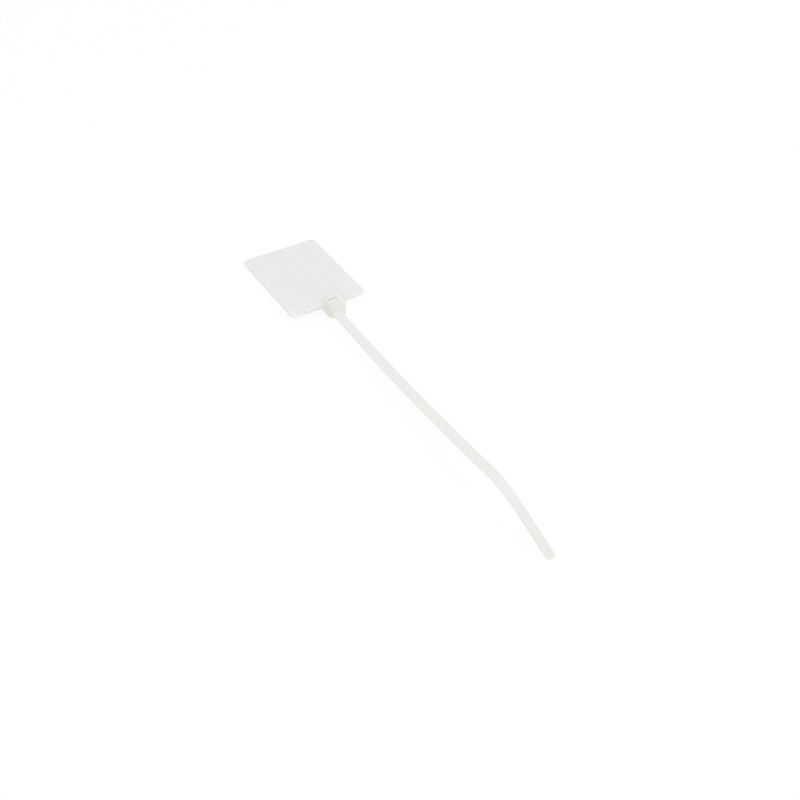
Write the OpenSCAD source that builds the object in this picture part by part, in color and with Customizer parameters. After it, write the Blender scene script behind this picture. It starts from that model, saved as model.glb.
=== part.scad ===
// Marker cable tie, moulded in one piece from natural nylon.
// A flat marker plate carries a locking head on its near edge. A strap runs forward from the head,
// with a ladder of ratchet teeth on its underside, and ends in a narrower tail that is bent down
// towards the teeth. The tail is threaded up through the slot in the head, where a springy pawl
// catches the teeth, and the plate then stands out beside the bundle to be written on.
// The tie lies as it comes to rest: the far edge of the plate and the tip of the tail touch z = 0.
// The strap runs along +X, the plate's writing face looks up, and the origin is under the middle.

/* [Marker plate] */
// Length of the plate, along the strap
plate_l = 28.5; // [20:0.1:40]
// Width of the plate, across the strap
plate_w = 21; // [14:0.1:32]
// Thickness of the plate
plate_t = 0.8; // [0.6:0.05:1.4]
// Radius of the plate's corners, seen from above
plate_corner_r = 1.2; // [0.6:0.1:4]
// Bevel along the plate's upper edges; the lower ones are sharp, as the mould parts there
plate_bevel = 0.15; // [0.04:0.01:0.25]

/* [Neck between plate and head] */
// Gap that the neck bridges between the plate's edge and the back of the head
neck_l = 0.6; // [0.3:0.05:1.5]
// Radius of the inside corners where the neck spreads into the plate
neck_fillet_r = 0.8; // [0.3:0.05:2]

/* [Locking head] */
// Height of the head above its underside
head_h = 3.75; // [3.2:0.05:5]
// Wall behind the slot, on the plate's side
head_back_wall = 0.8; // [0.5:0.05:1.4]
// Wall in front of the slot, where the strap leaves the head
head_front_wall = 1.35; // [0.9:0.05:2]
// Walls at both ends of the slot
head_side_wall = 0.95; // [0.6:0.05:1.6]
// Radius of the head's upright edges
head_corner_r = 0.5; // [0.2:0.05:0.7]
// Radius of the head's top edges
head_top_r = 0.4; // [0.15:0.05:0.6]
// Lean of the head's sides: how much farther in each one is at the top than at the foot
head_draft = 0.1; // [0.02:0.01:0.15]
// Room beside the strap's edges in the slot, on each side
slot_side_gap = 0.15; // [0.05:0.01:0.3]
// Room in front of the strap's teeth in the slot
slot_front_gap = 0.2; // [0.1:0.01:0.35]
// Lead-in bevel round the slot's lower mouth
slot_lead_in = 0.3; // [0.1:0.05:0.45]

/* [Pawl] */
// Thickness of the pawl
pawl_t = 0.55; // [0.4:0.05:0.9]
// Room behind the pawl for it to spring back into
pawl_room = 0.5; // [0.3:0.05:0.8]
// Height of the pawl's root above the head's underside
pawl_root_h = 1.3; // [1:0.05:1.7]
// Depth of the pawl's end below the head's top
pawl_end_depth = 0.5; // [0.2:0.05:0.8]
// Room beside the pawl, on each side
pawl_side_gap = 0.15; // [0.08:0.01:0.25]
// Play left between a pawl tooth and the floor of a strap tooth
pawl_play = 0.05; // [0.02:0.01:0.1]

/* [Strap] */
// Width of the toothed strap
strap_w = 2.37; // [1.8:0.05:3.6]
// Width of the smooth stretch next to the head
strap_root_w = 2.12; // [1.6:0.05:3.4]
// Thickness of the strap
strap_t = 0.85; // [0.75:0.05:1.3]
// Length from the head to the start of the bend
strap_l = 67.5; // [40:0.1:150]
// Length of the smooth, straight-sided stretch next to the head
strap_root_l = 4; // [2:0.5:10]
// Length over which the smooth stretch widens to the full strap
strap_widen_l = 12; // [4:0.5:20]
// Angle at which the strap leaves the head, below the plate's plane
strap_droop = 2.9; // [0:0.1:4]
// Radius of the strap's slight upward bow
strap_bow_r = 530; // [300:10:3000]
// Height of the strap's underside above the head's underside, at the head
strap_step = 0.02; // [0.01:0.01:0.3]
// Radius of the inside corners where the strap meets the head
strap_root_fillet_r = 0.7; // [0.2:0.05:0.9]

/* [Ladder of teeth] */
// Smooth length between the head and the first tooth
ladder_start = 12; // [6:0.5:25]
// Distance from one tooth to the next
tooth_pitch = 1.1; // [0.8:0.05:2]
// Depth of the teeth below the side rails
tooth_depth = 0.35; // [0.2:0.01:0.45]
// Flat on the crest of each tooth, along the strap
tooth_land = 0.3; // [0.1:0.05:0.5]
// Slant of each tooth's locking face, along the strap
tooth_rake = 0.06; // [0.02:0.01:0.15]
// Depth of the tooth crests below the side rails
crest_depth = 0.06; // [0.03:0.01:0.12]
// Width of the rail on each side of the teeth
rail_w = 0.35; // [0.2:0.05:0.6]

/* [Bent tail] */
// Angle by which the tail is bent down
tail_bend = 22.8; // [5:0.1:40]
// Radius of the bend, along the underside
tail_bend_r = 26.5; // [8:0.5:40]
// Length of the straight tail
tail_l = 14.0; // [8:0.1:40]
// Width of the tail where it starts
tail_w = 2.08; // [1.4:0.05:3.2]
// Width of the tail at its tip
tip_w = 2.02; // [1.7:0.05:3]
// Thickness of the tail at its tip
tip_t = 0.75; // [0.5:0.05:1.1]
// Radius of the corners of the tip, seen from above
tip_corner_r = 0.7; // [0.2:0.05:0.8]
// Smooth length at the tip, beyond the grip grooves
grip_end_gap = 3; // [1.5:0.5:6]
// Distance from one grip groove to the next
grip_pitch = 1.2; // [0.8:0.1:2]
// Depth of the grip grooves on the tail's underside
grip_depth = 0.12; // [0.05:0.01:0.2]

/* [Hidden] */
$fn = 96;
nylon = [0.93, 0.93, 0.9];
past = 1; // how far a cutting shape runs past the surface that it cuts
arc_step = 15; // degrees between the points of a drawn arc
bow_step = 3; // longest piece, along the strap, in which its slight bow is drawn
bend_step = 2.5; // most degrees between the points of the tail's bend

// Places along the head, from the plate's near edge forward
head_back_x = neck_l;
slot_back_x = head_back_x + head_back_wall;
strap_face_x = slot_back_x + strap_t;
slot_front_x = strap_face_x + slot_front_gap;
chamber_front_x = slot_front_x + pawl_t + pawl_room;
head_front_x = chamber_front_x + head_front_wall;

// Widths of the slot and of the head round it
slot_w = strap_w + 2 * slot_side_gap;
head_w = slot_w + 2 * head_side_wall;
pawl_w = slot_w - 2 * pawl_side_gap;

// Lengths along the strap's underside, counted from the front of the head
bend_l = tail_bend_r * tail_bend * PI / 180;
tail_start = strap_l + bend_l;
tie_end = tail_start + tail_l;

// Headings of the strap's underside: leaving the head, before the bend, and along the tail
root_heading = -strap_droop;
bow_heading = root_heading + strap_l / strap_bow_r * 180 / PI;
tail_heading = bow_heading - tail_bend;

// Step along an arc of signed radius r that turns from heading a to heading b
function arc(r, a, b) = r * [sin(b) - sin(a), cos(a) - cos(b)];

// Corner points of the strap's underside where its curves meet, as [x, z] in the plate's frame
root_point = [head_front_x, strap_step];
bow_end = root_point + arc(strap_bow_r, root_heading, bow_heading);
bend_end = bow_end + arc(-tail_bend_r, bow_heading, tail_heading);

// Heading of the strap, and the point on its underside, at length s from the head
function heading(s) =
    s <= 0 ? root_heading :
    s <= strap_l ? root_heading + s / strap_bow_r * 180 / PI :
    s <= tail_start ? bow_heading - (s - strap_l) / tail_bend_r * 180 / PI :
    tail_heading;

function under(s) =
    s <= 0 ? root_point + s * [cos(root_heading), sin(root_heading)] :
    s <= strap_l ? root_point + arc(strap_bow_r, root_heading, heading(s)) :
    s <= tail_start ? bow_end + arc(-tail_bend_r, bow_heading, heading(s)) :
    bend_end + (s - tail_start) * [cos(tail_heading), sin(tail_heading)];

// Point at length s and height d above the underside, square to the strap
function above(s, d) = under(s) + d * [-sin(heading(s)), cos(heading(s))];

// Thickness and half width of the strap at length s
function thickness(s) = lookup(s, [[tail_start, strap_t], [tie_end, tip_t]]);
function half_width(s) = lookup(s, [
    [strap_root_l, strap_root_w / 2],
    [strap_root_l + strap_widen_l, strap_w / 2],
    [strap_l, strap_w / 2],
    [tail_start, tail_w / 2],
    [tie_end, tip_w / 2]]);

// Centre of the fillet that runs from the head's front down onto the strap's sloping top
root_top = above(0, strap_t);
root_corner_z = root_top[1] + (head_front_x - root_top[0]) * tan(root_heading);
root_fillet_centre = [
    head_front_x + strap_root_fillet_r,
    root_corner_z + strap_root_fillet_r * (1 + sin(root_heading)) / cos(root_heading)];

// Lengths at which the strap's side view has points: even steps along the bow and along the bend
bow_steps = ceil(strap_l / bow_step);
bend_steps = ceil(tail_bend / bend_step);
root_inset = head_front_wall / 2;
side_stations = [
    -root_inset,
    for (i = [0:bow_steps - 1]) i * strap_l / bow_steps,
    for (i = [0:bend_steps]) strap_l + i * bend_l / bend_steps,
    tie_end];

// Tilt that brings the plate's far lower edge and the tail's tip down to one level
far_foot = [-plate_l, 0];
tip_foot = under(tie_end);
tip_top = above(tie_end, tip_t);
rest_tilt = atan2(far_foot[1] - tip_foot[1], tip_foot[0] - far_foot[0]);

// Place of a point [x, z] of the plate's frame once tilted
function tilted(p) = [
    p[0] * cos(rest_tilt) - p[1] * sin(rest_tilt),
    p[0] * sin(rest_tilt) + p[1] * cos(rest_tilt)];

rest_back_x = tilted([-plate_l, plate_t - plate_bevel])[0];
rest_front_x = tilted(tip_top)[0];
rest_shift = [-(rest_back_x + rest_front_x) / 2, 0, -tilted(far_foot)[1]];

// Points of an arc about a centre, from one angle to another
function arc_points(centre, r, from, to) =
    let (n = ceil(abs(to - from) / arc_step))
    [for (i = [0:n]) centre + r * [cos(from + (to - from) * i / n), sin(from + (to - from) * i / n)]];

function mirrored_y(points) = [for (i = [len(points) - 1:-1:0]) [points[i][0], -points[i][1]]];

// A side view, drawn as [x, z], carried across the strap by a width
module across(width) {
    rotate([90, 0, 0])
        linear_extrude(height = width, center = true)
            children();
}

// A front view, drawn as [y, z], carried along the strap from one x to another
module along(from_x, to_x) {
    translate([from_x, 0, 0])
        rotate([90, 0, 90])
            linear_extrude(height = to_x - from_x)
                children();
}

// Section of the plate, standing on its sharp lower edge, with bevelled upper corners
module bevelled_section(width) {
    half = width / 2;
    polygon([
        [-half, 0],
        [half, 0],
        [half, plate_t - plate_bevel],
        [half - plate_bevel, plate_t],
        [-half + plate_bevel, plate_t],
        [-half, plate_t - plate_bevel]]);
}

// Quarter of the space outside a circle, which rounds an inside corner at the origin
module inside_corner(r) {
    difference() {
        square(r);
        translate([r, r])
            circle(r);
    }
}

// Outline with leaning sides and rounded upper corners, for the head seen from the side or the front
module domed_outline(from, to) {
    inset = head_draft + head_top_r;
    polygon(concat(
        [[from, 0], [to, 0]],
        arc_points([to - inset, head_h - head_top_r], head_top_r, 0, 90),
        arc_points([from + inset, head_h - head_top_r], head_top_r, 90, 180)));
}

// Marker plate: two crossed slabs with a turned disc in each corner, their upper edges bevelled
module plate() {
    translate([-plate_l / 2, 0, 0]) {
        across(plate_w - 2 * plate_corner_r)
            bevelled_section(plate_l);
        along(-plate_l / 2 + plate_corner_r, plate_l / 2 - plate_corner_r)
            bevelled_section(plate_w);
        for (x = [-1, 1], y = [-1, 1])
            translate([x * (plate_l / 2 - plate_corner_r), y * (plate_w / 2 - plate_corner_r), 0])
                rotate_extrude()
                    intersection() {
                        bevelled_section(2 * plate_corner_r);
                        square([plate_corner_r, plate_t]);
                    }
    }
}

// Neck: a web as thick as the plate, with rounded inside corners up to the foot of the plate's bevel
module neck() {
    web_from_x = -plate_bevel - neck_fillet_r;
    web_to_x = head_back_x + head_corner_r;
    translate([web_from_x, -head_w / 2, 0])
        cube([web_to_x - web_from_x, head_w, plate_t]);
    linear_extrude(height = plate_t - plate_bevel)
        for (side = [-1, 1])
            scale([1, side])
                translate([0, head_w / 2])
                    inside_corner(neck_fillet_r);
}

// Outside of the head: its plan, cut to rounded top edges from the side and from the front
module head_block() {
    intersection() {
        linear_extrude(height = head_h)
            union() {
                translate([head_back_x, -head_w / 2 + head_corner_r])
                    square([head_front_x - head_back_x, head_w - 2 * head_corner_r]);
                translate([head_back_x + head_corner_r, -head_w / 2])
                    square([head_front_x - head_back_x - 2 * head_corner_r, head_w]);
                for (x = [head_back_x + head_corner_r, head_front_x - head_corner_r], y = [-1, 1])
                    translate([x, y * (head_w / 2 - head_corner_r)])
                        circle(head_corner_r);
            }
        across(head_w)
            domed_outline(head_back_x, head_front_x);
        along(head_back_x, head_front_x)
            domed_outline(-head_w / 2, head_w / 2);
    }
}

// Inside of the head: a passage for the strap, open at both ends, and the pawl's chamber above its root
module slot() {
    across(slot_w)
        polygon([
            [slot_back_x - slot_lead_in - past, -past],
            [slot_front_x + slot_lead_in + past, -past],
            [slot_front_x, slot_lead_in],
            [slot_front_x, pawl_root_h],
            [chamber_front_x, pawl_root_h],
            [chamber_front_x, head_h + past],
            [slot_back_x, head_h + past],
            [slot_back_x, slot_lead_in]]);
    along(slot_back_x, slot_front_x)
        polygon([
            [-slot_w / 2 - slot_lead_in - past, -past],
            [slot_w / 2 + slot_lead_in + past, -past],
            [slot_w / 2, slot_lead_in],
            [-slot_w / 2, slot_lead_in]]);
}

// Pawl: a springy tongue rising from the front of the slot, with teeth that fit the strap's ladder
module pawl() {
    end_z = head_h - pawl_end_depth;
    tooth_x = strap_face_x - tooth_depth + pawl_play;
    valley_x = strap_face_x - crest_depth + pawl_play;
    across(pawl_w)
        polygon([
            [slot_front_x, pawl_root_h - slot_lead_in],
            [slot_front_x, pawl_root_h],
            [tooth_x, end_z - tooth_pitch],
            [valley_x, end_z - tooth_pitch + tooth_rake],
            [valley_x, end_z - tooth_pitch + tooth_rake + tooth_land],
            [tooth_x, end_z],
            [tooth_x + pawl_t, end_z],
            [slot_front_x + pawl_t, pawl_root_h],
            [slot_front_x + pawl_t, pawl_root_h - slot_lead_in]]);
}

// The head with its slot and pawl
module head() {
    difference() {
        head_block();
        slot();
    }
    pawl();
}

// Side view of the strap: underside and top of the bowed and bent band, and its upper root fillet
module strap_side_view() {
    polygon(concat(
        [for (s = side_stations) under(s)],
        [for (i = [len(side_stations) - 1:-1:0]) above(side_stations[i], thickness(side_stations[i]))]));
    polygon(concat(
        [above(-root_inset, strap_t / 2), [head_front_x - root_inset, root_fillet_centre[1]]],
        arc_points(root_fillet_centre, strap_root_fillet_r, 180, 270 + root_heading),
        [above(strap_root_fillet_r, strap_t / 2)]));
}

// Plan of the strap: flared into the head, widening to the ladder, and narrowing to a rounded tip
module strap_plan() {
    flare = arc_points(
        [head_front_x + strap_root_fillet_r, strap_root_w / 2 + strap_root_fillet_r],
        strap_root_fillet_r, 180, 270);
    sides = [
        for (s = [strap_root_l, strap_root_l + strap_widen_l, strap_l, tail_start])
            [under(s)[0], half_width(s)]];
    tip = arc_points([tip_top[0] - tip_corner_r, tip_w / 2 - tip_corner_r], tip_corner_r, 90, 0);
    edge = concat([[head_front_x - root_inset, strap_root_w / 2 + strap_root_fillet_r]], flare, sides, tip);
    polygon(concat(edge, mirrored_y(edge)));
}

// Cut that leaves the ladder: one saw-toothed outline between the rails, from the smooth root to the tail
module ladder_cut() {
    count = floor((tail_start - ladder_start) / tooth_pitch);
    last = ladder_start + count * tooth_pitch;
    crests = [
        for (i = [0:count - 1])
            let (s = ladder_start + i * tooth_pitch)
                each [
                    above(s, crest_depth),
                    above(s + tooth_land, crest_depth),
                    above(s + tooth_pitch - tooth_rake, tooth_depth)]];
    way_back = [for (s = [last:-bow_step:ladder_start]) above(s, -past)];
    across(strap_w - 2 * rail_w)
        polygon(concat(crests, [above(last, crest_depth)], way_back, [above(ladder_start, -past)]));
}

// Shallow grooves across the tail's underside, for the fingers
module grip_grooves() {
    first = tail_start + grip_pitch;
    for (s = [first:grip_pitch:tie_end - grip_end_gap])
        across(tail_w - 2 * rail_w)
            polygon([
                above(s - grip_depth - past, -past),
                above(s, grip_depth),
                above(s + grip_depth + past, -past)]);
}

// Strap: its side view carried across, trimmed to its plan, less the ladder's gaps and the grooves
module strap() {
    blank_w = strap_w + strap_root_w + 2 * strap_root_fillet_r;
    difference() {
        intersection() {
            across(blank_w)
                strap_side_view();
            translate([0, 0, tip_foot[1] - past])
                linear_extrude(height = head_h + past - tip_foot[1])
                    strap_plan();
        }
        ladder_cut();
        grip_grooves();
    }
}

// The whole moulding, tilted and set down on the plate's far edge and the tail's tip
module marker_tie() {
    color(nylon)
        translate(rest_shift)
            rotate([0, -rest_tilt, 0]) {
                plate();
                neck();
                head();
                strap();
            }
}

marker_tie();
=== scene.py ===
"""Marker cable tie in natural nylon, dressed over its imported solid.

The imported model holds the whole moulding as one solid. Its open edges are rounded here as a mould
leaves them, the pins that push it out of the mould leave their prints on the plate's underside,
and the nylon gets its milky colour, its clouding, its flow lines and its grain.
"""

import logging
import math
from dataclasses import dataclass
from enum import Enum

import bpy
from mathutils import Matrix, Vector


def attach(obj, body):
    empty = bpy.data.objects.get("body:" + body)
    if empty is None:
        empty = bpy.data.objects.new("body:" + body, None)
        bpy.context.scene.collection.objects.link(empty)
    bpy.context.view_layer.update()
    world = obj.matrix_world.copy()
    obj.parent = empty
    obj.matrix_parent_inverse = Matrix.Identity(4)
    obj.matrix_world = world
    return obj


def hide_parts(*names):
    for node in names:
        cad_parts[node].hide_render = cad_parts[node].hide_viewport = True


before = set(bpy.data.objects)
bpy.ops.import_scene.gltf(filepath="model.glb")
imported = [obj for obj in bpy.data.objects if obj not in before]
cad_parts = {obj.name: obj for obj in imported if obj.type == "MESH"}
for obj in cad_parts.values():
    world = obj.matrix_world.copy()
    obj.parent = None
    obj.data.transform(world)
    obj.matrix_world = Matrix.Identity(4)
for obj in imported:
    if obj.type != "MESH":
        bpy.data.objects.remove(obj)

LOG = logging.getLogger("marker_tie")
ROOT = "root"
MM = 0.001  # a millimetre in the scene's metres
IMAGE_PX = 800  # side of the photograph's frame
SENSOR_MM = 36.0  # side of the camera's sensor
NYLON_IOR = 1.53
FLATS_WEIGHT = 50  # neutral: each face counts by its area alone

Pair = tuple[float, float]
Triple = tuple[float, float, float]
Span = Pair  # where a change starts and where it ends
Colour = Triple  # red, green and blue

WHITE: Colour = (1.0, 1.0, 1.0)


class Socket:
    """A shader socket that takes part in Python arithmetic, one Math node for each operation."""

    def __init__(self, graph: "Graph", source: bpy.types.NodeSocket) -> None:
        """Keeps the socket, and the graph that its nodes are added to."""
        self.graph = graph
        self.source = source

    def math(self, operation: str, *values: "Socket | float") -> "Socket":
        """Adds one Math node.

        Args:
            operation: the Math node's operation.
            values: its inputs, as sockets or numbers.

        Returns:
            The node's result.
        """
        return self.graph.node("ShaderNodeMath", {"operation": operation}, dict(enumerate(values)))

    def __add__(self, other: "Socket | float") -> "Socket":
        """self + other."""
        return self.math("ADD", self, other)

    def __radd__(self, other: float) -> "Socket":
        """other + self."""
        return self.math("ADD", other, self)

    def __sub__(self, other: "Socket | float") -> "Socket":
        """self - other."""
        return self.math("SUBTRACT", self, other)

    def __rsub__(self, other: float) -> "Socket":
        """other - self."""
        return self.math("SUBTRACT", other, self)

    def __mul__(self, other: "Socket | float") -> "Socket":
        """self * other."""
        return self.math("MULTIPLY", self, other)

    def __rmul__(self, other: float) -> "Socket":
        """other * self."""
        return self.math("MULTIPLY", other, self)

    def __abs__(self) -> "Socket":
        """The value without its sign."""
        return self.math("ABSOLUTE", self)

    def least(self, other: "Socket | float") -> "Socket":
        """The smaller of the two values."""
        return self.math("MINIMUM", self, other)

    def step(self, start: float, end: float) -> "Socket":
        """Smooth step of the value.

        Args:
            start: the value at which the result is 0.
            end: the value at which the result is 1, above start or below it.

        Returns:
            The step, from 0 to 1.
        """
        rising = self.graph.node(
            "ShaderNodeMapRange",
            {"interpolation_type": "SMOOTHSTEP"},
            {"Value": self, "From Min": min(start, end), "From Max": max(start, end)},
        )
        return rising if start < end else 1 - rising


class Graph:
    """A node tree, built node by node."""

    def __init__(self, tree: bpy.types.NodeTree) -> None:
        """Empties the tree and keeps it."""
        self.tree = tree
        self.tree.nodes.clear()

    def node(
        self,
        kind: str,
        settings: dict[str, object],
        inputs: dict[str | int, object],
        output: str | int | None = 0,
    ) -> Socket | None:
        """Adds a node.

        Args:
            kind: the node's type.
            settings: its properties, set before its sockets.
            inputs: values or links for its sockets, by name or number.
            output: the output that is wanted, by name or number, or None for a node without one.

        Returns:
            The wanted output.
        """
        made = self.tree.nodes.new(kind)
        for key, value in settings.items():
            setattr(made, key, value)
        for key, value in inputs.items():
            if isinstance(value, Socket):
                self.tree.links.new(value.source, made.inputs[key])
            else:
                made.inputs[key].default_value = value
        return None if output is None else Socket(self, made.outputs[output])

    def mix(self, share: Socket | float, one: Socket | Colour, other: Socket | Colour) -> Socket:
        """Blends two colours.

        Args:
            share: how much of the second colour.
            one: the first colour.
            other: the second colour.

        Returns:
            The blended colour.
        """
        first, second = (end if isinstance(end, Socket) else opaque(end) for end in (one, other))
        settings = {"data_type": "RGBA", "clamp_factor": True}
        return self.node("ShaderNodeMix", settings, {0: share, 6: first, 7: second}, 2)

    def millimetres(self) -> Socket:
        """The object's own coordinates, in millimetres."""
        inputs = {0: self.node("ShaderNodeTexCoord", {}, {}, "Object"), "Scale": 1 / MM}
        return self.node("ShaderNodeVectorMath", {"operation": "SCALE"}, inputs, "Vector")

    def axes(self, place: Socket) -> list[Socket]:
        """Splits coordinates into their X, Y and Z."""
        split = self.node("ShaderNodeSeparateXYZ", {}, {0: place})
        return [Socket(self, output) for output in split.source.node.outputs]

    def noise(self, place: Socket, waves: float, detail: float = 2.0) -> Socket:
        """Noise from 0 to 1.

        Args:
            place: the coordinates.
            waves: how many waves there are in a unit of them.
            detail: how many finer layers are added.

        Returns:
            The noise.
        """
        inputs = {"Vector": place, "Scale": waves, "Detail": detail}
        return self.node("ShaderNodeTexNoise", {}, inputs, "Fac")

    def lines(self, place: Socket, waves: Triple) -> Socket:
        """Noise drawn out into lines, with its waves in a unit along X, Y and Z."""
        drawn = self.node("ShaderNodeMapping", {}, {"Vector": place, "Scale": waves}, "Vector")
        return self.noise(drawn, 1.0)


def opaque(colour: Colour) -> tuple[float, float, float, float]:
    """The colour with full alpha."""
    return (*colour, 1.0)


@dataclass(frozen=True)
class TieLayout:
    """Where the tie's parts lie, in metres, and how far the plate leans.

    Places are in the plate's own frame, whose origin is the middle of its near lower edge, under
    the neck. That origin is given in the row's frame.
    """

    lean_deg: float = 2.206
    plate_origin: Triple = (-33.900 * MM, 0.0, 1.097 * MM)
    plate_length: float = 28.5 * MM
    plate_width: float = 21.0 * MM
    neck_start: float = -0.4 * MM
    neck_reach: float = 3.2 * MM  # to either side, with the neck's inside corners

    head_back: float = 0.6 * MM
    head_front: float = 4.85 * MM
    head_shoulder: float = 3.6 * MM  # above it only the slot's rim is sharp
    slot_back: float = 1.4 * MM
    slot_front: float = 3.5 * MM
    slot_width: float = 2.67 * MM
    lead_in: float = 0.3 * MM
    pawl_back: float = 1.9 * MM
    pawl_front: float = 3.1 * MM
    pawl_width: float = 2.37 * MM
    pawl_root: float = 1.3 * MM

    fillet_top: float = 1.537 * MM
    fillet_half_width: float = 1.76 * MM
    front_lean: float = 0.045 * MM  # how far the head's front leans back at the fillet's top
    foot_corner: Span = (1.7 * MM, 2.3 * MM)  # the head's front corners, to either side
    flare_end: Span = (5.45 * MM, 5.6 * MM)  # where the strap's root meets its straight sides
    flare_last: float = 5.53 * MM
    flare_step: float = 0.048 * MM  # from the first to the last of the flare's end
    strap_edge: float = 0.95 * MM  # to either side; the ladder lies within
    tip: float = 95.4 * MM  # past it the strap's end is rounded too

    @property
    def near_edge_mm(self) -> float:
        """The plate's near edge along X in the row's frame, in millimetres."""
        return self.plate_origin[0] / MM

    @property
    def plate_matrix(self) -> Matrix:
        """Turns places in the plate's own frame into places in the row's frame."""
        lean = Matrix.Rotation(-math.radians(self.lean_deg), 4, "Y")
        return Matrix.Translation(self.plate_origin) @ lean


@dataclass(frozen=True)
class Spot:
    """The shaded point in the row's frame, in millimetres, set against the tie's layout."""

    layout: TieLayout
    x: Socket
    y: Socket
    z: Socket

    @property
    def behind_edge(self) -> Socket:
        """How far it lies behind the plate's near edge."""
        return self.layout.near_edge_mm - self.x

    @property
    def ahead_of_back(self) -> Socket:
        """How far it lies in front of the head's back."""
        return self.x - (self.layout.near_edge_mm + self.layout.head_back / MM)

    @property
    def behind_front(self) -> Socket:
        """How far it lies behind the head's front."""
        return self.layout.near_edge_mm + self.layout.head_front / MM - self.x

    @property
    def from_rim(self) -> Socket:
        """How far it lies inside the plate's rim.

        Returns:
            The gap to the nearest of the two sides and the far edge.
        """
        side_gap = self.layout.plate_width / MM / 2 - abs(self.y)
        far_edge = self.layout.near_edge_mm - self.layout.plate_length / MM
        return side_gap.least(self.x - far_edge)


@dataclass(frozen=True)
class HeadShading:
    """Where light and shade are painted into the head's colour, as spans in millimetres.

    Set-backs are counted from the head's front, heights from the floor, and sides from its middle,
    with the camera's side below 0.
    """

    crown_height: Span = (4.75, 4.88)
    crown_setback: Span = (0.3, 0.6)
    crown_half_width: Span = (2.1, 1.8)  # to either side
    front_top_setback: Span = (0.85, 0.45)
    front_top_height: Span = (4.35, 4.65)
    front_top_side: Span = (1.9, 1.1)
    corner_setback: Span = (0.7, 0.3)
    corner_side: Span = (-1.0, -1.7)
    corner_share: float = 0.8
    foot_side: Span = (-1.2, -2.1)
    foot_height: Span = (4.2, 2.4)
    foot_ahead: Span = (1.4, 3.0)  # of the head's back
    brow_side: Span = (-1.4, -1.9)
    brow_height: Span = (4.3, 4.7)
    brow_share: float = 0.8
    slot_soft_ends: float = 0.12  # how far the slot's painted light fades past its ends
    slot_soft_sides: float = 0.08  # and past its sides
    slot_height: Span = (1.35, 1.55)

    def crown(self, spot: Spot) -> Socket:
        """Finds the flat top, where light is painted.

        Args:
            spot: the shaded point.

        Returns:
            The share of the painted light on the top.
        """
        top = spot.z.step(*self.crown_height) * spot.behind_front.step(*self.crown_setback)
        return top * abs(spot.y).step(*self.crown_half_width)

    def shade(self, spot: Spot) -> Socket:
        """Finds where shade is painted: the front's top, its corner, and the side's foot and brow.

        Args:
            spot: the shaded point.

        Returns:
            The share of the painted shade.
        """
        front_top = (
            spot.behind_front.step(*self.front_top_setback)
            * spot.z.step(*self.front_top_height)
            * spot.y.step(*self.front_top_side)
        )
        corner = spot.behind_front.step(*self.corner_setback) * spot.y.step(*self.corner_side)
        foot = (
            spot.y.step(*self.foot_side)
            * spot.z.step(*self.foot_height)
            * spot.ahead_of_back.step(*self.foot_ahead)
        )
        brow = spot.y.step(*self.brow_side) * spot.z.step(*self.brow_height)
        return (front_top + corner * self.corner_share + foot + brow * self.brow_share).least(1.0)

    def slot(self, spot: Spot) -> Socket:
        """Finds the slot, above its lead-in, where light is painted.

        Args:
            spot: the shaded point.

        Returns:
            The share of the painted light in the slot.
        """
        layout = spot.layout
        back = layout.near_edge_mm + layout.slot_back / MM
        front = layout.near_edge_mm + layout.slot_front / MM
        half = layout.slot_width / MM / 2
        return (
            spot.x.step(back - self.slot_soft_ends, back)
            * spot.x.step(front + self.slot_soft_ends, front)
            * abs(spot.y).step(half + self.slot_soft_sides, half)
            * spot.z.step(*self.slot_height)
        )


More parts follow.
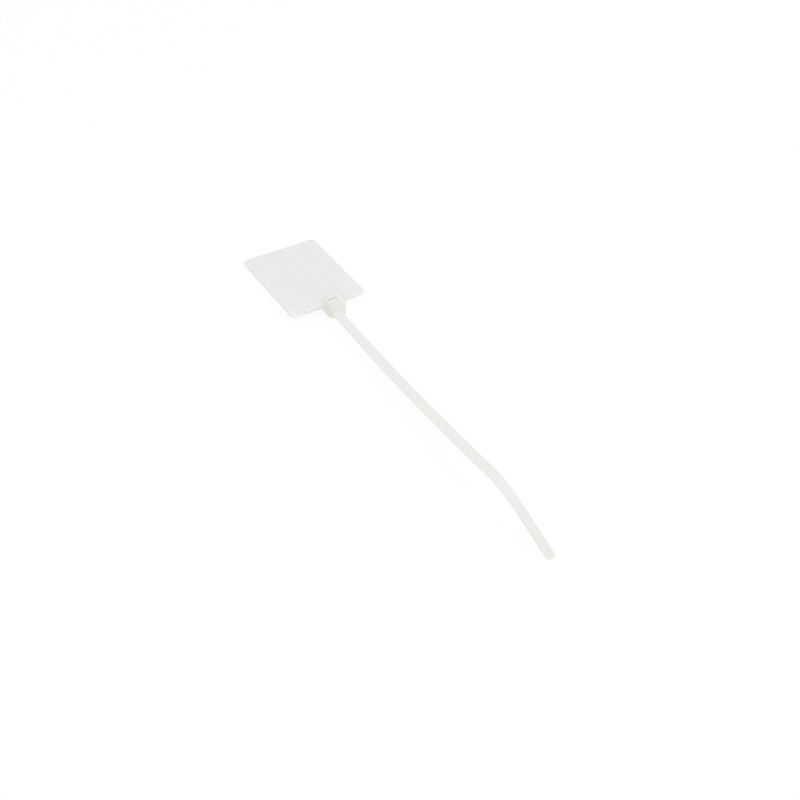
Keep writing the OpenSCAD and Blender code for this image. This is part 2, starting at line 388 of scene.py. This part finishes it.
@dataclass(frozen=True)
class NaturalNylon:
    """Natural nylon as it comes from the mould: milky, satin, and deeper in tone where it is thick.

    Light and shade are painted into its colour on the head, along the plate's rim and on the tail.
    Spans are in millimetres in the row's frame, and waves are counted in a millimetre, unless a
    note says otherwise.
    """

    name: str
    scatter: float = 0.6
    scatter_depth: float = 0.9 * MM
    # painted light in the slot, standing in for light that comes through its thin walls
    slot_painted_light: Colour = (0.990, 0.996, 0.980)
    scatter_reach: Colour = (1.0, 0.97, 0.90)
    head_shading: HeadShading = HeadShading()

    strap_tone: Colour = (0.833, 0.827, 0.842)
    cloud_tone: Colour = (0.816, 0.826, 0.760)
    speck_tone: Colour = (0.738, 0.734, 0.728)
    # painted shade on the bent tail
    tail_painted_shade: Colour = (0.630, 0.618, 0.628)
    plate_tone: Colour = (0.873, 0.866, 0.864)
    pit_tone: Colour = (0.768, 0.762, 0.760)
    # painted shade along the plate's rim
    rim_painted_shade: Colour = (0.715, 0.711, 0.708)
    head_tone: Colour = (0.780, 0.782, 0.737)
    # painted light on the head's flat top
    crown_painted_light: Colour = (0.796, 0.824, 0.752)
    # painted shade down the head's side, at its front's top and at its corner
    shade_tone: Colour = (0.725, 0.730, 0.675)

    streak_waves: Triple = (0.06, 1.6, 1.6)
    cloud_waves: float = 0.22
    fleck_waves: float = 1.3
    pit_waves: float = 3.0
    grain_waves: float = 7.0
    cloud_detail: float = 3.0
    pit_detail: float = 1.5
    grain_detail: float = 3.0

    mottle_shares: Triple = (0.4, 0.4, 0.2)  # of clouds, flecks and flow lines
    mottle_span: Span = (0.38, 0.62)  # of the noise's own range
    pit_span: Span = (0.3, 0.7)  # of the noise's own range
    speck_share: float = 0.6
    clouding_span: Span = (-14.0, 16.0)
    clouding_least: float = 0.2
    # where the painted tail shade sets in, and how much of it
    tail_span: Span = (42.0, 52.0)
    tail_share: float = 0.25
    head_mottle: float = 0.2

    plate_blend: Span = (-0.3, 0.3)  # behind the plate's near edge
    neck_blend: Span = (-0.4, 0.0)  # ahead of the head's back
    root_blend: Span = (-0.9, -0.1)  # behind the head's front
    # how wide the painted rim shade is, and how much of it the near edge gets
    rim_width: float = 0.8
    near_rim_share: float = 0.45
    left_rim_span: Span = (-10.0, -8.6)  # across the plate, on the camera's side
    left_rim_share: float = 0.4  # the painted rim shade is fainter there

    plate_roughness: float = 0.50
    strap_roughness: float = 0.40
    roughness_spread: float = 0.10
    grain_depth: float = 0.006 * MM
    grain_strength: float = 0.5
    grain_share: float = 0.5
    streak_share: float = 0.8
    strap_relief: float = 0.3  # of the plate's

    def strap_colour(self, graph: Graph, spot: Spot, mottle: Socket, pit: Socket) -> Socket:
        """Colours the strap: clouding grows to its middle and stays; its tail gets painted shade.

        Args:
            graph: the material's graph.
            spot: the shaded point.
            mottle: clouding, from 0 to 1.
            pit: fine pits, from 0 to 1.

        Returns:
            The strap's colour.
        """
        spread = spot.x.step(*self.clouding_span) * (1 - self.clouding_least) + self.clouding_least
        clouded = graph.mix(mottle * spread, self.strap_tone, self.cloud_tone)
        specked = graph.mix(pit.step(*self.pit_span) * self.speck_share, clouded, self.speck_tone)
        # painted shade on the tail
        return graph.mix(spot.x.step(*self.tail_span) * self.tail_share, specked, self.tail_painted_shade)

    def plate_colour(self, graph: Graph, spot: Spot, pit: Socket) -> Socket:
        """Colours the plate, pitted all over, with painted shade at its rim.

        Args:
            graph: the material's graph.
            spot: the shaded point.
            pit: fine pits, from 0 to 1.

        Returns:
            The plate's colour.
        """
        face = graph.mix(pit.step(*self.pit_span), self.plate_tone, self.pit_tone)
        # painted shade along the rim, fainter on the camera's side
        eased = spot.y.step(*self.left_rim_span) * (1 - self.left_rim_share) + self.left_rim_share
        outer = spot.from_rim.step(self.rim_width, 0.0) * eased
        near = spot.behind_edge.step(self.rim_width, 0.0) * self.near_rim_share
        return graph.mix((outer + near).least(1.0), face, self.rim_painted_shade)

    def head_colour(self, graph: Graph, spot: Spot, mottle: Socket) -> Socket:
        """Colours the head: greener where it is thick, with painted light on its top and in its
        slot and painted shade down its side and at its front.

        Args:
            graph: the material's graph.
            spot: the shaded point.
            mottle: clouding, from 0 to 1.

        Returns:
            The head's colour.
        """
        head = graph.mix(mottle * self.head_mottle, self.head_tone, self.cloud_tone)
        # painted light on the flat top, then painted shade on the side and the front
        head = graph.mix(self.head_shading.crown(spot), head, self.crown_painted_light)
        head = graph.mix(self.head_shading.shade(spot), head, self.shade_tone)
        # painted light in the slot
        return graph.mix(self.head_shading.slot(spot), head, self.slot_painted_light)

    def make(self, layout: TieLayout) -> bpy.types.Material:
        """Builds the material.

        Args:
            layout: where the plate, the head and its slot lie.

        Returns:
            The material.
        """
        material = bpy.data.materials.new(self.name)
        material.use_nodes = True
        graph = Graph(material.node_tree)
        place = graph.millimetres()
        spot = Spot(layout, *graph.axes(place))
        streak = graph.lines(place, self.streak_waves)
        fleck = graph.noise(place, self.fleck_waves)
        pit = graph.noise(place, self.pit_waves, self.pit_detail)
        grain = graph.noise(place, self.grain_waves, self.grain_detail)
        cloud = graph.noise(place, self.cloud_waves, self.cloud_detail)

        clouds, flecks, streaks = self.mottle_shares
        mottle = (cloud * clouds + fleck * flecks + streak * streaks).step(*self.mottle_span)
        on_plate = spot.behind_edge.step(*self.plate_blend)
        past_neck = spot.ahead_of_back.step(*self.neck_blend)
        in_head = past_neck * spot.behind_front.step(*self.root_blend)
        strap = self.strap_colour(graph, spot, mottle, pit)
        flat = graph.mix(on_plate, strap, self.plate_colour(graph, spot, pit))
        colour = graph.mix(in_head, flat, self.head_colour(graph, spot, mottle))

        satin = on_plate * (self.plate_roughness - self.strap_roughness) + self.strap_roughness
        uneven = (streak * 0.5 + fleck * 0.5 - 0.5) * self.roughness_spread
        relief = on_plate * (1 - self.strap_relief) + self.strap_relief
        height = (grain * self.grain_share + pit) * relief + streak * self.streak_share
        bump = {"Strength": self.grain_strength, "Distance": self.grain_depth, "Height": height}
        shader = graph.node(
            "ShaderNodeBsdfPrincipled",
            {},
            {
                "Base Color": colour,
                "Roughness": satin + uneven,
                "IOR": NYLON_IOR,
                "Subsurface Weight": self.scatter,
                "Subsurface Radius": self.scatter_reach,
                "Subsurface Scale": self.scatter_depth,
                "Normal": graph.node("ShaderNodeBump", {}, bump, "Normal"),
            },
        )
        graph.node("ShaderNodeOutputMaterial", {}, {"Surface": shader}, None)
        return material


@dataclass(frozen=True)
class PinPolish:
    """Nylon that lay against the polished end of an ejector pin: smoother than the rest."""

    name: str = "nylon_against_pin"
    colour: Colour = (0.862, 0.860, 0.850)
    shade: Colour = (0.838, 0.836, 0.822)
    cloud_waves: float = 1.5
    cloud_detail: float = 3.0
    cloud_span: Span = (0.35, 0.65)
    fine_waves: float = 9.0
    roughness: float = 0.28
    roughness_spread: float = 0.12

    def make(self) -> bpy.types.Material:
        """Builds the material, with a faint clouding and a fine unevenness of its gloss.

        Returns:
            The material.
        """
        material = bpy.data.materials.new(self.name)
        material.use_nodes = True
        graph = Graph(material.node_tree)
        place = graph.millimetres()
        cloud = graph.noise(place, self.cloud_waves, self.cloud_detail)
        fine = graph.noise(place, self.fine_waves)
        inputs = {
            "Base Color": graph.mix(cloud.step(*self.cloud_span), self.colour, self.shade),
            "Roughness": fine * self.roughness_spread + self.roughness,
            "IOR": NYLON_IOR,
        }
        shader = graph.node("ShaderNodeBsdfPrincipled", {}, inputs)
        graph.node("ShaderNodeOutputMaterial", {}, {"Surface": shader}, None)
        return material


def pick_only(piece: bpy.types.Object) -> None:
    """Leaves one object selected and active.

    Args:
        piece: the object.
    """
    bpy.ops.object.select_all(action="DESELECT")
    piece.select_set(True)
    bpy.context.view_layer.objects.active = piece


def smooth(piece: bpy.types.Object, angle_deg: float) -> None:
    """Shades a piece smooth and keeps its flats flat.

    Args:
        piece: the piece.
        angle_deg: edges sharper than this stay sharp.
    """
    pick_only(piece)
    bpy.ops.object.shade_smooth_by_angle(angle=math.radians(angle_deg))
    flats = piece.modifiers.new("flats", "WEIGHTED_NORMAL")
    flats.mode = "FACE_AREA"
    flats.weight = FLATS_WEIGHT
    flats.keep_sharp = True
    bpy.ops.object.modifier_apply(modifier=flats.name)


class Coat(Enum):
    """The moulding's finishes, by the number of their material slot."""

    PLATE = 0
    TIE = 1
    PIN_PRINT = 2
    SLOT_WALLS = 3


class Stretch(Enum):
    """The stretches of the tie with rounded edges, each by its own share of the radius."""

    PLATE_RIM = 1.0
    SLOT_RIM = 0.9
    STRAP_SIDES = 0.8


@dataclass(frozen=True)
class PinMarks:
    """Round, shallow prints under the plate, where pins pushed the tie out of its mould."""

    layout: TieLayout
    radius: float = 0.9 * MM
    depth: float = 0.03 * MM
    lead_in: float = 0.02 * MM
    lead_in_steps: int = 2
    sides: int = 48
    places: tuple[Pair, ...] = (
        (-4.5 * MM, -7.0 * MM),
        (-4.5 * MM, 7.0 * MM),
        (-24.0 * MM, -7.0 * MM),
        (-24.0 * MM, 7.0 * MM),
    )

    def cutter(self, place: Pair) -> bpy.types.Object:
        """Models the end of one pin, reaching up into the plate.

        Args:
            place: the pin's axis, in the plate's own frame.

        Returns:
            A short cylinder with bevelled edges.
        """
        bpy.ops.object.select_all(action="DESELECT")
        matrix = self.layout.plate_matrix @ Matrix.Translation((*place, 0.0))
        bpy.ops.mesh.primitive_cylinder_add(
            vertices=self.sides,
            radius=self.radius,
            depth=2 * self.depth,
            location=matrix.to_translation(),
            rotation=matrix.to_euler(),
        )
        pin = bpy.context.active_object
        bevel = pin.modifiers.new("pin_edge", "BEVEL")
        bevel.width = self.lead_in
        bevel.segments = self.lead_in_steps
        bevel.limit_method = "ANGLE"
        bpy.ops.object.modifier_apply(modifier=bevel.name)
        return pin

    def press_into(self, piece: bpy.types.Object, coat: Coat) -> None:
        """Sinks every print into a piece.

        Args:
            piece: the moulded body.
            coat: the finish of the printed faces.
        """
        for place in self.places:
            pin = self.cutter(place)
            for material in piece.data.materials:
                pin.data.materials.append(material)
            for face in pin.data.polygons:
                face.material_index = coat.value
            pick_only(piece)
            cut = piece.modifiers.new("pin_print", "BOOLEAN")
            cut.operation = "DIFFERENCE"
            cut.solver = "EXACT"
            cut.object = pin
            bpy.ops.object.modifier_apply(modifier=cut.name)
            bpy.data.objects.remove(pin)


@dataclass
class Moulding:
    """The tie's one moulded body: plate, neck, head, strap and tail, with rounded open edges."""

    layout: TieLayout
    plate_finish: NaturalNylon
    tie_finish: NaturalNylon
    slot_finish: NaturalNylon
    polish: PinPolish
    prints: PinMarks
    node: str = "marker_tie"
    slot: str = "nylon"
    weld: float = 0.0005 * MM
    meet: float = 0.01 * MM  # places nearer than this count as one
    sliver: float = 0.056 * MM  # picked vertices at the root merge within this
    foot_height: float = 0.1 * MM
    foot_reach: float = 0.3 * MM  # of the head's front
    flat_deg: float = 0.3
    sharp_deg: float = 35.0
    edge_radius: float = 0.08 * MM
    edge_steps: int = 3

    def build(self) -> bpy.types.Object:
        """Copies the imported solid, rounds its open edges and sinks the pin prints.

        Returns:
            The dressed piece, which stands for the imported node.
        """
        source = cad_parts[self.node]
        piece = bpy.data.objects.new("nylon_moulding", source.data.copy())
        bpy.context.scene.collection.objects.link(piece)
        self.weld_faces(piece)
        self.seat_root(piece)
        self.round_edges(piece)
        self.dress(piece)
        self.prints.press_into(piece, Coat.PIN_PRINT)
        smooth(piece, self.sharp_deg)
        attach(piece, ROOT)
        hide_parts(self.node)
        LOG.info("%s: %d faces", piece.name, len(piece.data.polygons))
        return piece

    def weld_faces(self, piece: bpy.types.Object) -> None:
        """Joins the loose triangles and melts those that lie in one plane into one face.

        Args:
            piece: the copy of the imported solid, left with nothing selected and in vertex mode.
        """
        pick_only(piece)
        bpy.ops.object.mode_set(mode="EDIT")
        bpy.ops.mesh.select_all(action="SELECT")
        bpy.ops.mesh.remove_doubles(threshold=self.weld)
        bpy.ops.mesh.dissolve_limited(angle_limit=math.radians(self.flat_deg))
        bpy.ops.mesh.select_all(action="DESELECT")
        bpy.ops.mesh.select_mode(type="VERT")
        bpy.ops.object.mode_set(mode="OBJECT")

    def seat_root(self, piece: bpy.types.Object) -> None:
        """Seats the strap's root on the head's front, which leans back a little, with no slivers.

        Args:
            piece: the welded body.
        """
        layout = self.layout
        to_plate = layout.plate_matrix.inverted()
        top = Vector((layout.head_front, layout.fillet_half_width, layout.fillet_top))
        for vertex in piece.data.vertices:
            place = to_plate @ vertex.co
            back = 0.0
            if (Vector((place.x, abs(place.y), place.z)) - top).length < self.meet:
                back = layout.front_lean
            if layout.flare_last < place.x < layout.flare_end[1]:
                back = layout.flare_step
            if back:
                vertex.co = layout.plate_matrix @ (place - Vector((back, 0.0, 0.0)))
            vertex.select = self.is_sliver(place)
        bpy.ops.object.mode_set(mode="EDIT")
        bpy.ops.mesh.remove_doubles(threshold=self.sliver)
        bpy.ops.object.mode_set(mode="OBJECT")

    def is_sliver(self, place: Vector) -> bool:
        """Tells whether a vertex belongs to the slivers at the strap's root.

        Args:
            place: the vertex in the plate's own frame.

        Returns:
            True at the head's front foot, at the fillet's top and where the flare ends.
        """
        layout = self.layout
        corner_from, corner_to = layout.foot_corner
        at_foot = abs(place.z) < self.foot_height and corner_from < abs(place.y) < corner_to
        at_top = abs(place.z - layout.fillet_top) < self.meet
        at_front = abs(place.x - layout.head_front) < self.foot_reach
        at_flare = layout.flare_end[0] < place.x < layout.flare_end[1]
        return (at_front and (at_foot or at_top)) or at_flare

    def stretch_of(self, start: Vector, end: Vector) -> Stretch | None:
        """Finds what stretch a sharp edge belongs to.

        Args:
            start: one end of the edge, in the plate's own frame.
            end: its other end.

        Returns:
            The stretch, or None where the edge stays as the solid has it.
        """
        layout = self.layout
        ends = (start, end)
        if all(
            point.x < self.meet
            and (point.x < layout.neck_start or abs(point.y) > layout.neck_reach)
            for point in ends
        ):
            return Stretch.PLATE_RIM
        if all(
            layout.head_back < point.x < layout.head_front and point.z > layout.head_shoulder
            for point in ends
        ):
            return Stretch.SLOT_RIM
        if all(
            point.x > layout.flare_end[0]
            and (abs(point.y) > layout.strap_edge or point.x > layout.tip)
            for point in ends
        ):
            return Stretch.STRAP_SIDES
        return None

    def round_edges(self, piece: bpy.types.Object) -> None:
        """Rounds the open ones among the sharp edges; the teeth keep theirs.

        Args:
            piece: the welded body.
        """
        pick_only(piece)
        bpy.ops.object.mode_set(mode="EDIT")
        bpy.ops.mesh.select_all(action="DESELECT")
        bpy.ops.mesh.select_mode(type="EDGE")
        bpy.ops.mesh.edges_select_sharp(sharpness=math.radians(self.sharp_deg))
        bpy.ops.object.mode_set(mode="OBJECT")
        mesh = piece.data
        to_plate = self.layout.plate_matrix.inverted()
        places = [to_plate @ vertex.co for vertex in mesh.vertices]
        weights = mesh.attributes.new("bevel_weight_edge", "FLOAT", "EDGE")
        for edge in mesh.edges:
            if edge.select:
                stretch = self.stretch_of(*(places[index] for index in edge.vertices))
                weights.data[edge.index].value = stretch.value if stretch else 0.0
        bevel = piece.modifiers.new("mould_radius", "BEVEL")
        bevel.width = self.edge_radius
        bevel.segments = self.edge_steps
        bevel.limit_method = "WEIGHT"
        bevel.use_clamp_overlap = False
        bpy.ops.object.modifier_apply(modifier=bevel.name)

    def coat_of(self, place: Vector) -> Coat:
        """Finds the finish of a face.

        Args:
            place: the face's middle, in the plate's own frame.

        Returns:
            The plate's finish, the slot's on its walls, or the tie's, which the pawl has too.
        """
        layout = self.layout
        if place.x < layout.head_back:
            return Coat.PLATE
        in_slot = (
            layout.slot_back - self.weld < place.x < layout.slot_front + self.weld
            and abs(place.y) < layout.slot_width / 2 + self.weld
            and place.z > layout.lead_in
        )
        on_pawl = (
            layout.pawl_back < place.x < layout.pawl_front
            and abs(place.y) < layout.pawl_width / 2 + self.weld
            and place.z > layout.pawl_root
        )
        return Coat.SLOT_WALLS if in_slot and not on_pawl else Coat.TIE

    def dress(self, piece: bpy.types.Object) -> None:
        """Gives every face its finish.

        Args:
            piece: the rounded body.
        """
        made = {
            Coat.PLATE: self.plate_finish.make(self.layout),
            Coat.TIE: self.tie_finish.make(self.layout),
            Coat.PIN_PRINT: self.polish.make(),
            Coat.SLOT_WALLS: self.slot_finish.make(self.layout),
        }
        piece.data.materials.clear()
        for coat in Coat:
            piece.data.materials.append(made[coat])
        to_plate = self.layout.plate_matrix.inverted()
        for face in piece.data.polygons:
            face.material_index = self.coat_of(to_plate @ face.center).value


class LampKind(Enum):
    """The studio's area lamps."""

    KEY = "key_softbox"
    FILL = "fill_softbox"


@dataclass(frozen=True)
class Softbox:
    """A square area lamp that looks at the middle of the tie."""

    kind: LampKind
    towards: Triple
    distance: float
    side: float
    power: float

    def build(self) -> bpy.types.Object:
        """Places the lamp.

        Returns:
            The lamp's object.
        """
        data = bpy.data.lights.new(self.kind.value, "AREA")
        data.shape = "SQUARE"
        data.size = self.side
        data.energy = self.power
        lamp = bpy.data.objects.new(self.kind.value, data)
        bpy.context.scene.collection.objects.link(lamp)
        out = Vector(self.towards).normalized()
        lamp.location = out * self.distance
        lamp.rotation_euler = out.to_track_quat("Z", "Y").to_euler()
        LOG.info("%s: %.2f W", lamp.name, data.energy)
        return lamp


@dataclass
class Studio:
    """Pale floor, even light, soft lamps and the photograph's camera."""

    layout: TieLayout
    floor_side: float = 6.0
    floor_tone: Colour = (0.96, 0.96, 0.96)
    floor_white: float = 0.9
    sky: float = 0.80
    lamps: tuple[Softbox, ...] = (
        Softbox(LampKind.KEY, (0.657, -0.395, 0.643), distance=1.60, side=0.80, power=7.0),
        Softbox(LampKind.FILL, (0.10, 0.80, 0.60), distance=1.20, side=0.60, power=1.7),
    )
    azimuth_deg: float = 59.05
    elevation_deg: float = 40.205
    distance: float = 0.329545
    offset_px: Pair = (-70.591, 93.937)
    focal_px: float = 1300.0
    clip_start: float = 0.01

    def build(self) -> None:
        """Builds the whole studio."""
        self.build_floor()
        self.build_sky()
        for lamp in self.lamps:
            lamp.build()
        self.build_camera()

    def white_to_camera(self, graph: Graph) -> Socket:
        """Finds the rays that show the background: direct, in a gloss or through a material.

        Args:
            graph: the graph that its nodes are added to.

        Returns:
            1 for those rays, otherwise 0.
        """
        seen, glossy, through = (
            graph.node("ShaderNodeLightPath", {}, {}, name)
            for name in ("Is Camera Ray", "Is Glossy Ray", "Is Transmission Ray")
        )
        return (seen + glossy + through).least(1.0)

    def build_floor(self) -> bpy.types.Object:
        """Lays the floor at z = 0; it shows nearly white but keeps the tie's soft shadow.

        Returns:
            The floor's object.
        """
        bpy.ops.object.select_all(action="DESELECT")
        bpy.ops.mesh.primitive_plane_add(size=self.floor_side)
        floor = bpy.context.active_object
        floor.name = "studio_floor"
        material = bpy.data.materials.new("floor_paper")
        material.use_nodes = True
        graph = Graph(material.node_tree)
        paper = graph.node("ShaderNodeBsdfDiffuse", {}, {"Color": opaque(self.floor_tone)})
        glow = graph.node("ShaderNodeEmission", {}, {"Color": opaque(WHITE), "Strength": 1.0})
        share = self.white_to_camera(graph) * self.floor_white
        shown = graph.node("ShaderNodeMixShader", {}, {0: share, 1: paper, 2: glow})
        graph.node("ShaderNodeOutputMaterial", {}, {"Surface": shown}, None)
        floor.data.materials.append(material)
        return floor

    def build_sky(self) -> None:
        """Lights the scene evenly from all round, and shows white behind it."""
        world = bpy.data.worlds.new("studio_sky")
        bpy.context.scene.world = world
        world.use_nodes = True
        graph = Graph(world.node_tree)
        dim = graph.node("ShaderNodeBackground", {}, {"Color": opaque(WHITE), "Strength": self.sky})
        white = graph.node("ShaderNodeBackground", {}, {"Color": opaque(WHITE), "Strength": 1.0})
        share = self.white_to_camera(graph)
        shown = graph.node("ShaderNodeMixShader", {}, {0: share, 1: dim, 2: white})
        graph.node("ShaderNodeOutputWorld", {}, {"Surface": shown}, None)

    def build_camera(self) -> bpy.types.Object:
        """Stands the camera where the photograph was taken from.

        Its direction is counted in the plate's own frame, so it leans as the plate does.

        Returns:
            The camera's object.
        """
        turn, rise = math.radians(self.azimuth_deg), math.radians(self.elevation_deg)
        level = math.cos(rise)
        back = Vector((math.sin(turn) * level, -math.cos(turn) * level, math.sin(rise)))
        right = Vector((math.cos(turn), math.sin(turn), 0.0))
        above = back.cross(right)
        per_px = self.distance / self.focal_px
        aside, up = (offset * per_px for offset in self.offset_px)
        pose = Matrix((right, above, back)).transposed().to_4x4()
        pose.translation = back * self.distance - right * aside - above * up
        data = bpy.data.cameras.new("photo_camera")
        data.sensor_width = SENSOR_MM
        data.lens = self.focal_px / IMAGE_PX * SENSOR_MM
        data.clip_start = self.clip_start
        camera = bpy.data.objects.new("photo_camera", data)
        bpy.context.scene.collection.objects.link(camera)
        camera.matrix_world = self.layout.plate_matrix @ pose
        bpy.context.scene.camera = camera
        return camera


def main() -> None:
    """Dresses the tie and builds the studio."""
    logging.basicConfig(level=logging.INFO, format="%(name)s %(message)s")
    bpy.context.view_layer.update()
    bpy.context.scene.view_settings.view_transform = "Standard"
    layout = TieLayout()
    Moulding(
        layout=layout,
        plate_finish=NaturalNylon("nylon_plate"),
        # the tie's own faces in the slot get a dimmer painted slot light
        tie_finish=NaturalNylon(
            "nylon_tie", scatter=0.4, scatter_depth=1.0 * MM, slot_painted_light=(0.935, 0.945, 0.90)
        ),
        # the slot's walls take the default painted slot light, nearly white
        slot_finish=NaturalNylon("nylon_slot", scatter=1.0, scatter_depth=6.0 * MM),
        polish=PinPolish(),
        prints=PinMarks(layout),
    ).build()
    Studio(layout).build()


if __name__ == "__main__":
    main()
